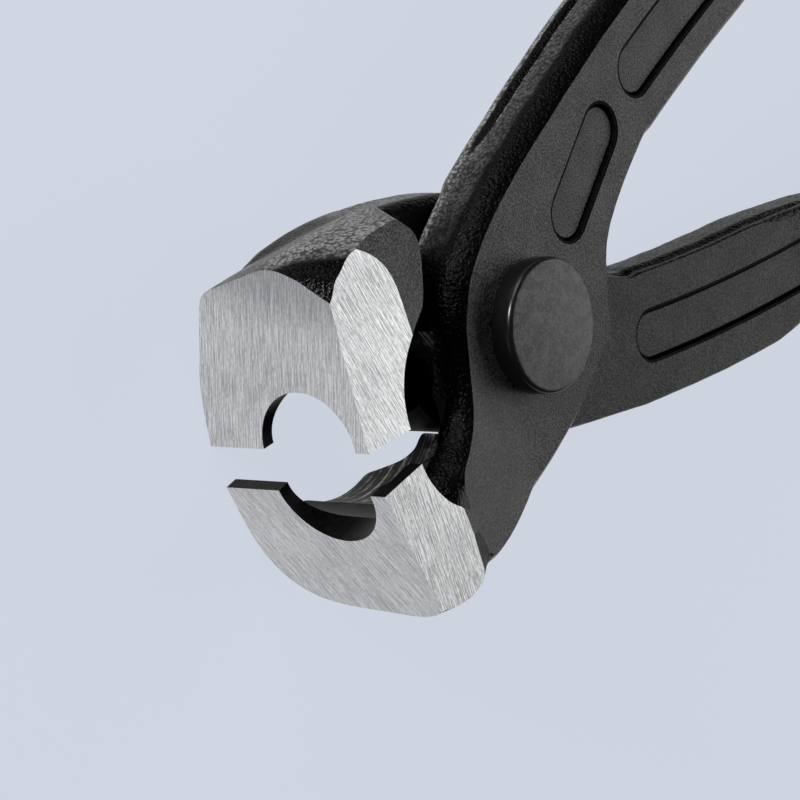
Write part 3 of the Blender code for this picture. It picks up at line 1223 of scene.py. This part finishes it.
    def plate(self) -> Mesh:
        """Make the plate with its handle, risen towards the jaw and set over to the tang.

        Returns:
            The plate's mesh, on its own side of the lap plane.
        """
        low = self.gap / 2 - self.spare
        high = self.thick + self.spare
        made = prism(self.plate_outline(self.line.tang_start + self.line.tang_width), low, high)
        round_rim(made, high, self.rim, 5, self.rim_profile)
        round_rim(made, low, self.lap_rim, 4, self.rim_profile)
        coined_fade = self.coined_end - self.coined_run
        places = [self.flare_end, *self.nose_coined, self.flare_start, *self.lap_coined, coined_fade,
                  self.coined_end, *spread(self.joggle_start, self.line.neck, 8)]
        for place in places:
            everything = made.verts[:] + made.edges[:] + made.faces[:]
            bmesh.ops.bisect_plane(made, geom=everything, plane_co=(place, 0, 0), plane_no=(1, 0, 0))
        middle = self.thick / 2
        for vert in made.verts:
            x, z = vert.co.x, vert.co.z
            spare = 1 - ramp(x, coined_fade, self.coined_end)
            lap_spare = spare * ramp(x, *self.lap_coined)
            spare *= ramp(x, *self.nose_coined)
            z += (self.spare + self.sunk) * (1 - lap_spare) * max(1 - (z - low) / self.spare_depth, 0.0)
            z -= (self.spare + self.sunk) * (1 - spare) * max(1 - (high - z) / self.spare_depth, 0.0)
            flare = (self.flare_start - x) / (self.flare_start - self.flare_end)
            flare = min(max(flare, 0.0), 1.0)
            joggle = ramp(x, self.joggle_start, self.line.neck)
            scale = 1 + (self.line.tang_thick / self.thick - 1) * joggle
            vert.co.z = middle * (1 - joggle) + (z - middle) * scale + self.rise * flare * z / self.thick
        made.transform(turn_of(self.jaw))
        return made

    def sections(self) -> list[tuple[float, list[Corner]]]:
        """Give the jaw block's sections in YZ.

        Returns:
            Each section's place along X, and its corners with their roundings.
        """
        if self.jaw is Jaw.LOWER:
            crowns = [(-40.0, 10.5, 8.0), (-34.0, 10.5, 8.0), (-31.5, 8.0, 5.0), (-29.0, 5.0, 3.6),
                      (-26.6, 4.0, 5.0), (-25.0, 4.0, 7.5), (-18.6, 4.0, 8.0)]
            return [(x, [(1.5, -11.0, 0.2), (-15.9, -11.0, far), (-17.9, 15.5, near), (1.5, 15.5, 0.2)])
                    for x, far, near in crowns]
        far_side = [(-1.5, -11.1, 0.2), (6.5, -10.9, 3.0), (18.0, -7.5, 1.6)]
        near_end = (-1.5, 15.5, 0.2)
        ridges = [
            (-40.0, (21.1, 3.9, 2.6), (14.8, 15.3, 0.8)),
            (-33.8, (21.1, 3.9, 2.6), (14.8, 15.3, 0.8)),
            (-31.4, (21.5, 4.2, 3.2), (18.3, 15.2, 1.0)),
            (-28.9, (21.9, 4.4, 3.6), (20.4, 15.0, 0.8)),
            (-25.0, (22.0, 4.5, 4.0), (21.2, 15.0, 0.8)),
            (-9.0, (21.0, 4.5, 4.0), (20.6, 15.0, 0.8)),
        ]
        return [(x, [*far_side, ridge, shoulder, near_end]) for x, ridge, shoulder in ridges]

    def block(self) -> Piece:
        """Make the jaw block's blank with its hollow and its heel.

        Returns:
            The blank.
        """
        rings = [[(x, y, z) for y, z in rounded(corners)] for x, corners in self.sections()]
        forged = self.finishes.forged
        blank = as_object("blank", loft(rings), forged)
        carve(blank, cylinder(self.hollow_radius, -FAR_OUT, FAR_OUT, self.hollow_centre), forged)
        carve(blank, cylinder(self.pocket_radius, -FAR_OUT, self.pocket_top, self.pocket_centre), forged)
        if self.jaw is Jaw.LOWER:
            slope = self.near_rise / (self.flare_start - self.flare_end)
            edge = (self.flare_start, self.heel_side, self.thick + self.sunk)
            carve(blank, beyond(edge, (slope, -self.heel_lean, 1)), forged)
            carve(blank, melted(self.far_web()), forged, Work.ADD)
        else:
            carve(blank, self.near_heel(), forged)
            far_corner = (self.block_end, -FAR_OUT, -FAR_OUT)
            carve(blank, box(far_corner, (FAR_OUT, FAR_OUT, self.gap / 2)), forged)
        return blank

    def near_heel(self) -> Mesh:
        """Make the cutter behind the upper jaw's near part, which leaves a sloping web.

        Returns:
            The cutter.
        """
        edge = spline(self.heel_edge, 4)
        corners = [(FAR_OUT, self.heel_edge[-1][1]), (FAR_OUT, -FAR_OUT), (self.heel_edge[0][0], -FAR_OUT)]
        made = prism([*edge, *corners], self.gap / 2, self.web_top)
        for vert in made.verts:
            vert.co.x += self.web_slope * (self.web_level - vert.co.z)
        return made

    def facet(self) -> Mesh:
        """Make the cutter of the upper jaw's smooth near facet.

        Returns:
            The cutter, whose lower face falls away behind the ground side face.
        """
        made = bmesh.new()
        bmesh.ops.create_grid(made, x_segments=40, y_segments=40, size=0.5)
        middle_x, size_x = -24.0, 22.0
        middle_y, size_y = 11.0, 32.0
        for vert in made.verts:
            x = middle_x + size_x * vert.co.x
            y = middle_y + size_y * vert.co.y
            past_bend = max(y - self.facet_bend_start, 0.0) / self.facet_bend_run
            behind = x - self.facet_start + self.facet_bend * past_bend ** self.facet_power
            vert.co = (x, y, self.upper_side(x, y) - self.facet_fall * behind)
        risen = bmesh.ops.extrude_face_region(made, geom=made.faces[:])["geom"]
        for item in risen:
            if isinstance(item, bmesh.types.BMVert):
                item.co.z = FAR_OUT
        return made

    def upper_side(self, x: float, y: float) -> float:
        """Give the height of the upper jaw's ground side face."""
        return self.upper_side_height + self.upper_side_rise[0] * x + self.upper_side_rise[1] * y

    def far_web(self) -> Piece:
        """Make the lower jaw's far wall, which runs back under the plate and thins to a web.

        Returns:
            The wall, cut clear of the other lever's boss.
        """
        made = prism(self.web_profile, *self.web_span)
        made.transform(Matrix.Rotation(math.pi / 2, 4, 'X'))
        web = as_object("web", made, self.finishes.forged)
        carve(web, beyond(self.web_end, self.web_end_facing), self.finishes.forged)
        carve(web, cylinder(self.boss_radius + self.gap, -FAR_OUT, 0.0), self.finishes.forged)
        return web

    def blank(self) -> Piece:
        """Forge the plate and the jaw block into one.

        Returns:
            The forging, not yet smoothed.
        """
        made = as_object(self.name + "_forging", self.plate(), self.finishes.forged)
        carve(made, melted(self.block()), self.finishes.forged, Work.ADD)
        return made

    def uneven(self, piece: Piece) -> None:
        """Give the forging its slight waviness, and the parting line's groove on the handle's walls.

        Args:
            piece: The forging.
        """
        mesh = piece.data
        middle = self.groove_height if self.jaw is Jaw.LOWER else self.far_groove_height
        groove_end = self.joggle_start - self.groove_run_out
        waves = (self.long_wave, self.short_wave)
        normals = [vert.normal.copy() for vert in mesh.vertices]
        for vert, normal in zip(mesh.vertices, normals):
            wave = sum(noise.noise(vert.co * ripples) * height for ripples, height in waves)
            handle = ramp(vert.co.x, *self.groove_start) * ramp(vert.co.x, self.joggle_start, groove_end)
            wall = smooth_step((self.wall_tilt - abs(normal.z)) / self.wall_ease)
            across = max(1 - ((vert.co.z - middle) / self.groove_half) ** 2, 0.0)
            wave *= self.flat_wave + (1 - self.flat_wave) * wall
            vert.co += normal * (wave - self.groove_depth * handle * wall * across)

    def machine(self, piece: Piece) -> None:
        """Grind and mill the jaw, and press the recesses into the handle.

        Args:
            piece: The forging.
        """
        kit = self.finishes
        upper = self.jaw is Jaw.UPPER
        slope = self.front_slope if upper else -self.front_slope
        front = kit.upper_front if upper else kit.lower_front
        wide = self.die_reach
        carve(piece, beyond((-self.reach, 0, 0), (-1, slope, 0)), front)
        if upper:
            carve(piece, self.facet(), kit.flat)
            rise_x, rise_y = self.upper_side_rise
            carve(piece, beyond((0, 0, self.upper_side_height), (-rise_x, -rise_y, 1)), kit.upper_side)
            carve(piece, box((-wide, -self.pinch_tall, -wide), (self.pinch_back, 0, wide)), kit.bored)
            carve(piece, prism(self.jaw_hollow(), -FAR_OUT, FAR_OUT), kit.bored)
            # The boss relief is finished near black: painted shade in the gap round the boss.
            carve(piece, prism(self.boss_relief(), -FAR_OUT, 0.0), kit.pressed)
        else:
            rise_x, rise_y = self.lower_side_rise
            carve(piece, beyond((0, 0, self.lower_side_height), (-rise_x, -rise_y, 1)), kit.lower_side)
            carve(piece, box((-wide, 0, -wide), (self.pinch_back, self.pinch_tall, wide)), kit.bored)
            carve(piece, prism(self.mouth(), -FAR_OUT, self.skin_height), kit.milled)
        pocket_radius = self.pocket_radius + self.gap
        carve(piece, cylinder(pocket_radius, -FAR_OUT, self.arm_pocket_top, self.pocket_centre), kit.bored)
        carve(piece, self.notch(), kit.bored)
        carve(piece, cylinder(self.hole_radius, -FAR_OUT, FAR_OUT), kit.bored)
        # The lap faces and the lap face's slot floor take the lap finish, which carries painted shade.
        for cutter, finish in zip(self.coining(), (kit.flat, kit.lap)):
            carve(piece, cutter, finish)
        # The ring round each slot and the slots' walls and trenches take the near-black finish: painted
        # shade.
        edges = self.slots(self.pressed_edge, self.pressed_depth, 0.0)
        walls = self.slots(0.0, self.recess_depth, self.trench_depth)
        for cutter in edges + walls:
            carve(piece, cutter, kit.pressed)
        floor_depth = self.recess_depth - self.trench_depth + self.floor_cut
        floors = self.slots(-self.trench_width - self.floor_margin, floor_depth, 0.0)
        for cutter, finish in zip(floors, (kit.flat, kit.flat, kit.lap)):
            carve(piece, cutter, finish)

    def mouth(self) -> list[Point]:
        """Draw the milled hollow under the lower jaw's plate, kept clear of the rivet.

        Returns:
            The outline.
        """
        front = arc(self.hollow_radius, *self.mouth_span, self.hollow_centre)
        back = spline([front[-1], *self.hollow_back, front[0]], 6)
        return front + back[1:-1]

    def jaw_hollow(self) -> list[Point]:
        """Draw the front of the milled hollow, in the upper jaw's block."""
        return arc(self.hollow_radius, *self.hollow_span, self.hollow_centre)

    def boss_relief(self) -> list[Point]:
        """Draw what is taken off round the upper jaw's boss, where the other lever's web swings."""
        first, last = self.boss_span
        return arc(self.boss_radius, first, last) + arc(2 * self.reach, last, first, steps=2)

    def coining(self) -> list[Mesh]:
        """Make the dies that press the two faces of the plate flat.

        Returns:
            The die of the outer face and that of the lap face.
        """
        length = self.flare_start - self.flare_end
        top_end = self.flare_end - length
        corner = (self.flare_start, self.thick)
        bend = ((self.flare_start - length / 2, self.thick + self.rise / 2), corner, corner,
                (self.flare_start + length / 2, self.thick))
        profile = [(top_end, self.thick + 2 * self.rise), *(bezier(bend, t) for t in spread(0.0, 1.0, 12)),
                   (self.coined_end, self.thick), (self.coined_end, self.die_top), (top_end, self.die_top)]
        outer = prism(profile, -self.die_reach, self.die_reach)
        outer.transform(Matrix.Rotation(math.pi / 2, 4, 'X'))
        lap = box((self.lap_coined[1], -self.die_reach, -self.die_depth),
                  (self.coined_end, self.die_reach, self.gap / 2))
        for made in (outer, lap):
            made.transform(turn_of(self.jaw))
        return [outer, lap]

    def notch(self) -> Mesh:
        """Make the round cutter of the ear notch.

        Returns:
            The cutter.
        """
        made = cylinder(self.notch_radius, -FAR_OUT, self.notch_end)
        lift = Matrix.Translation((0, 0, self.notch_height))
        made.transform(lift @ Matrix.Rotation(math.pi / 2, 4, 'Y'))
        return made

    def slots(self, margin: float, depth: float, trench: float) -> list[Mesh]:
        """Make the dies of the shallow slots: two in the outer face and one in the lap face.

        Args:
            margin: How far the die reaches past the slot's edge.
            depth: How deep it goes.
            trench: How much deeper it goes round its floor than in the middle.

        Returns:
            The dies.
        """
        half = self.recess_width / 2 + margin
        line = [tuple(self.line.frame(x)[0]) for x in spread(*self.handle_recess, 12)]
        faces = ((self.joint_recess, self.thick, 1), (line, self.thick, 1), (line, self.gap / 2, -1))
        dies = []
        for path, surface, inward in faces:
            bottom = surface - inward * depth
            made = prism(stadium(path, half), bottom, surface + inward * self.thick)
            if trench:
                floor = [face for face in made.faces if at_height(face, bottom)]
                bmesh.ops.inset_region(made, faces=floor, thickness=self.trench_width)
                for vert in floor[0].verts:
                    vert.co.z += inward * trench
            made.transform(turn_of(self.jaw))
            dies.append(made)
        return dies

    def tang(self) -> Mesh:
        """Make the thin tang inside the grip.

        Returns:
            The tang, which starts inside the handle's end.
        """
        places = spread(self.line.tang_start + self.tang_overlap, self.line.end, 24)
        outline = self.line.edge(places, -1) + self.line.edge(places, 1)[::-1]
        half = self.line.tang_thick / 2
        made = prism(outline, -half, half)
        for height in (half, -half):
            round_rim(made, height, self.tang_rim, 2)
        made.transform(turn_of(self.jaw))
        return made

    def build(self) -> Piece:
        """Make the finished lever.

        Returns:
            The lever's object, in its place and riding on its body.
        """
        piece = self.blank()
        hammer(piece, self.voxel, self.forge_rounds)
        self.uneven(piece)
        soften(piece, self.skin_rounds)
        self.machine(piece)
        carve(piece, self.tang(), self.finishes.forged, Work.ADD)
        piece.data.transform(place_of(self.jaw))
        shade(piece)
        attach(piece, f"{self.jaw.value}_jaw_side")
        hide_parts(self.name)
        return piece


@dataclass
class Rivet:
    """The rivet: a wide flat head with a softened edge, a shank and a low tail."""

    finishes: Finishes
    head_radius: float = 8.0
    head_low: float = 9.3
    head_high: float = 12.5
    shank_radius: float = 5.5
    tail_radius: float = 7.2
    tail_high: float = -9.3
    tail_low: float = -11.3
    edge: float = 0.7
    edge_steps: int = 4
    rim_angle: float = 1.0
    shade_angle: float = 40.0

    def build(self) -> Piece:
        """Make the finished rivet.

        Returns:
            The rivet's object, in its place and riding on its body.
        """
        made = bmesh.new()
        profile = [
            (0.0, self.tail_low), (self.tail_radius, self.tail_low), (self.tail_radius, self.tail_high),
            (self.shank_radius, self.tail_high), (self.shank_radius, self.head_low),
            (self.head_radius, self.head_low), (self.head_radius, self.head_high), (0.0, self.head_high)]
        row = [made.verts.new((radius, 0, height)) for radius, height in profile]
        edges = [made.edges.new(pair) for pair in zip(row, row[1:])]
        bmesh.ops.spin(made, geom=row + edges, cent=(0, 0, 0), axis=(0, 0, 1), angle=2 * math.pi,
                       steps=ROUND_STEPS, use_merge=True)
        bmesh.ops.remove_doubles(made, verts=made.verts, dist=MERGE)
        bmesh.ops.recalc_face_normals(made, faces=made.faces)
        rims = [edge for edge in made.edges if edge.calc_face_angle(0.0) > self.rim_angle]
        bmesh.ops.bevel(made, geom=rims, offset=self.edge, segments=self.edge_steps, profile=0.5,
                        affect='EDGES', material=-1)
        piece = as_object("rivet", made, self.finishes.rivet)
        piece.data.transform(place_of(Jaw.UPPER))
        shade(piece, self.shade_angle)
        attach(piece, "upper_jaw_side")
        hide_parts("pivot_rivet")
        return piece


@dataclass
class Grip:
    """Dipped sleeve on one tang, with a bead at its mouth and a round end."""

    jaw: Jaw
    finishes: Finishes
    line: HandleLine = field(default_factory=HandleLine)
    gap: float = 0.3
    width: float = 17.5
    thick: float = 15.0
    lip_width: float = 15.0
    lip_length: float = 8.0
    end_wall: float = 4.3
    tip_share: float = 0.06
    socket_depths: Point = (12.0, 0.5)
    socket_power: float = 6.0
    skin_power: float = 2.6
    bead: float = 0.7
    bead_place: float = 1.2
    bead_width: float = 0.9
    roll: float = 0.5
    roll_length: float = 0.3
    points: int = 48
    shade_angle: float = 45.0

    def ring(self, place: float, half_width: float, half_thick: float, power: float) -> list[Vector]:
        """Make a ring of points round the handle's middle line.

        Args:
            place: The ring's place along X.
            half_width: Half its width across the handle.
            half_thick: Half its height along Z.
            power: Its squareness, from 2 for an ellipse upwards.

        Returns:
            The points.
        """
        middle, across = self.line.frame(place)
        ring = []
        for angle in spread(0.0, 2 * math.pi, self.points)[:-1]:
            cosine, sine = math.cos(angle), math.sin(angle)
            wide = math.copysign(abs(cosine) ** (2 / power), cosine) * half_width
            high = math.copysign(abs(sine) ** (2 / power), sine) * half_thick
            ring.append(Vector((*(middle + across * wide), high)))
        return ring

    def skin(self) -> list[list[Vector]]:
        """Give the sleeve's rings.

        Returns:
            The rings, from inside its mouth over the bead to the round end.
        """
        start = self.line.tang_start + self.gap
        lip_end = start + self.lip_length
        end = self.line.end + self.end_wall
        round_start = end - self.width / 2
        rings = []
        for depth in self.socket_depths:
            rings.append(self.ring(start + depth, self.line.tang_width / 2 + self.gap,
                                   self.line.tang_thick / 2 + self.gap, self.socket_power))
        places = spread(start, lip_end, 10) + spread(lip_end, round_start, 26)[1:]
        places += [round_start + (end - round_start) * math.sin(angle)
                   for angle in spread(0.0, math.pi / 2, 10)[1:]]
        for place in places:
            inward = place - start
            swell = smooth_step(inward / self.lip_length)
            half = (self.lip_width + (self.width - self.lip_width) * swell) / 2
            bead = self.bead * math.exp(-((inward - self.bead_place) / self.bead_width) ** 2)
            half += bead - self.roll * math.exp(-inward / self.roll_length)
            past = max((place - round_start) / (end - round_start), 0.0)
            half *= max(math.sqrt(max(1 - past ** 2, 0.0)), self.tip_share)
            rings.append(self.ring(place, half, half * self.thick / self.width, self.skin_power))
        return rings

    def build(self) -> Piece:
        """Make the finished grip.

        Returns:
            The grip's object, in its place and riding on its body.
        """
        made = loft(self.skin())
        made.transform(turn_of(self.jaw))
        piece = as_object(f"{self.jaw.value}_jaw_lever_sleeve", made, self.finishes.grip)
        piece.data.transform(place_of(self.jaw))
        shade(piece, self.shade_angle)
        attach(piece, f"{self.jaw.value}_jaw_side")
        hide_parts(f"{self.jaw.value}_jaw_lever_grip")
        return piece


# Studio


@dataclass(frozen=True)
class Lamp:
    """A soft square lamp that points at the joint, with its size and distance in metres."""

    name: str
    way: Corner
    size: float
    power: float
    distance: float = 1.0

    def hang(self) -> None:
        """Hang the lamp."""
        light = bpy.data.lights.new(self.name, 'AREA')
        light.shape = 'SQUARE'
        light.size = self.size
        light.energy = self.power
        hung = bpy.data.objects.new(self.name, light)
        bpy.context.scene.collection.objects.link(hung)
        hung.location = Vector(self.way).normalized() * self.distance
        hung.rotation_euler = Vector(self.way).to_track_quat('Z', 'Y').to_euler()


@dataclass
class Studio:
    """Pale floor, soft lights, a pale world and the camera of the photograph.

    The floor's glow is seen by the camera and in reflections only. A dark card behind the jaws, from
    card_back along Y and card_left along -X in millimetres, is seen in reflections alone.
    """

    backdrop: Colour = (0.63, 0.67, 0.76, 1.0)
    mirrored: Colour = (0.61, 0.612, 0.625, 1.0)
    paper: Colour = (0.3, 0.31, 0.34, 1.0)
    card: float = 0.01
    card_back: Point = (18.0, 34.0)
    card_left: Point = (14.0, 30.0)
    glow: float = 1.18
    shadow_share: float = 0.2
    world_light: Colour = (1.0, 1.0, 1.0, 1.0)
    world_level: float = 0.05
    floor_size: float = 6.0
    lens: float = 135.0
    sensor: float = 36.0
    clip_start: float = 0.01
    camera_place: tuple[Colour, ...] = (
        (0.58168, 0.47846, -0.65782, -0.242588),
        (-0.29451, 0.87772, 0.37799, 0.128758),
        (0.75823, -0.02613, 0.65146, 0.236452),
        (0.0, 0.0, 0.0, 1.0))
    lamps: tuple[Lamp, ...] = (
        Lamp("key", (0.79, -0.25, 0.57), size=0.85, power=5.8),
        Lamp("top", (-0.05, 0.95, 0.3), size=0.5, power=3.0),
        Lamp("spark", (-0.64, 0.74, 0.2), size=0.2, power=8.5))

    def floor(self) -> None:
        """Lay the floor, which shows the backdrop's colour and a faint shadow."""
        sheet = NodeSheet.of_material("floor_paper")
        sheet.tree.nodes.remove(sheet.tree.nodes["Principled BSDF"])
        camera, glossy, transmission = (sheet.node("ShaderNodeLightPath", output=f"Is {kind} Ray")
                                        for kind in ("Camera", "Glossy", "Transmission"))
        seen = camera.at_least(glossy).at_least(transmission)
        paper = sheet.node("ShaderNodeBsdfDiffuse", sockets={"Color": self.paper})
        where = sheet.place()
        behind = sheet.between(sheet.along(where, (0, 1, 0)), *self.card_back)
        leftward = sheet.between(sheet.along(where, (-1, 0, 0)), *self.card_left)
        card = sheet.blend(behind * leftward, self.mirrored, grey(self.card))
        tint = sheet.blend(glossy, self.backdrop, card)
        glow = sheet.node("ShaderNodeEmission", sockets={"Color": tint, "Strength": self.glow})
        shown = {0: seen * (1 - self.shadow_share), 1: paper, 2: glow}
        sheet.show(sheet.node("ShaderNodeMixShader", sockets=shown), "Material Output")
        made = bmesh.new()
        bmesh.ops.create_grid(made, x_segments=1, y_segments=1, size=self.floor_size / 2 / METRES)
        piece = as_object("floor", made, sheet.owner)
        piece.data.transform(Matrix.Scale(METRES, 4))

    def world(self) -> None:
        """Fill the world with even pale light, and show the backdrop's colour to the camera."""
        made = bpy.data.worlds.new("studio")
        sheet = NodeSheet(made)
        rays = sheet.node("ShaderNodeLightPath", output="Is Camera Ray")
        light = sheet.node("ShaderNodeBackground", sockets={
            "Color": self.world_light, "Strength": self.world_level})
        shown = sheet.node("ShaderNodeBackground", sockets={"Color": self.backdrop})
        mix = sheet.node("ShaderNodeMixShader", sockets={0: rays, 1: light, 2: shown})
        sheet.show(mix, "World Output")
        bpy.context.scene.world = made

    def camera(self) -> None:
        """Set up the camera where the photograph was taken."""
        data = bpy.data.cameras.new("photo_camera")
        data.lens = self.lens
        data.sensor_width = self.sensor
        data.clip_start = self.clip_start
        made = bpy.data.objects.new("photo_camera", data)
        bpy.context.scene.collection.objects.link(made)
        made.matrix_world = Matrix(self.camera_place)
        bpy.context.scene.camera = made

    def build(self) -> None:
        """Set up the whole studio."""
        self.floor()
        for lamp in self.lamps:
            lamp.hang()
        self.world()
        self.camera()
        bpy.context.scene.view_settings.view_transform = 'Standard'


def main() -> None:
    """Build the studio and every piece."""
    logging.basicConfig(level=logging.INFO, format="%(name)s: %(message)s")
    Studio().build()
    finishes = Finishes.make()
    pieces = [Lever(Jaw.UPPER, finishes), Lever(Jaw.LOWER, finishes), Rivet(finishes),
              Grip(Jaw.UPPER, finishes), Grip(Jaw.LOWER, finishes)]
    for piece in pieces:
        made = piece.build()
        made.data.calc_loop_triangles()
        LOG.info("%s: %d triangles", made.name, len(made.data.loop_triangles))


if __name__ == "__main__":
    main()
